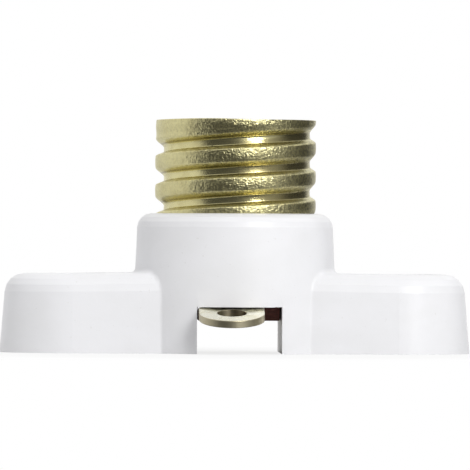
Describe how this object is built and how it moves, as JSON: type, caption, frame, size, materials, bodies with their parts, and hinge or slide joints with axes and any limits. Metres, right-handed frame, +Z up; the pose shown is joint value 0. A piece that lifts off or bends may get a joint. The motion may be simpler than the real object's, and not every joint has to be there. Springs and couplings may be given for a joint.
{
  "type": "miniature lamp holder",
  "caption": "Miniature screw lamp holder: white moulded base with a round hub, brass threaded shell and solder tags front and rear.",
  "frame": {"origin": "middle of the underside, on the lamp axis", "axes": "+Z up along the lamp axis out of the shell, +X along the foot, -Y toward the side where the shell's solder tag comes out"},
  "size_m": [0.0296, 0.018, 0.0148],
  "materials": {
    "moulding": "white moulded thermoplastic, smooth with a soft sheen",
    "shell_brass": "bare drawn brass, grainy on the crests and smoother in the roots",
    "tag_brass": "bright tinned brass sheet with sheared edges",
    "fibre": "dark red-brown vulcanised fibre, dull",
    "rivet_brass": "bare turned brass"
  },
  "bodies": {
    "root": {"base_moulding": "moulding", "screw_shell": "shell_brass", "shell_tag": "tag_brass", "contact_tag": "tag_brass", "bottom_insulator": "fibre", "shell_insulator": "fibre", "contact_rivet": "rivet_brass"}
  },
  "joints": []
}
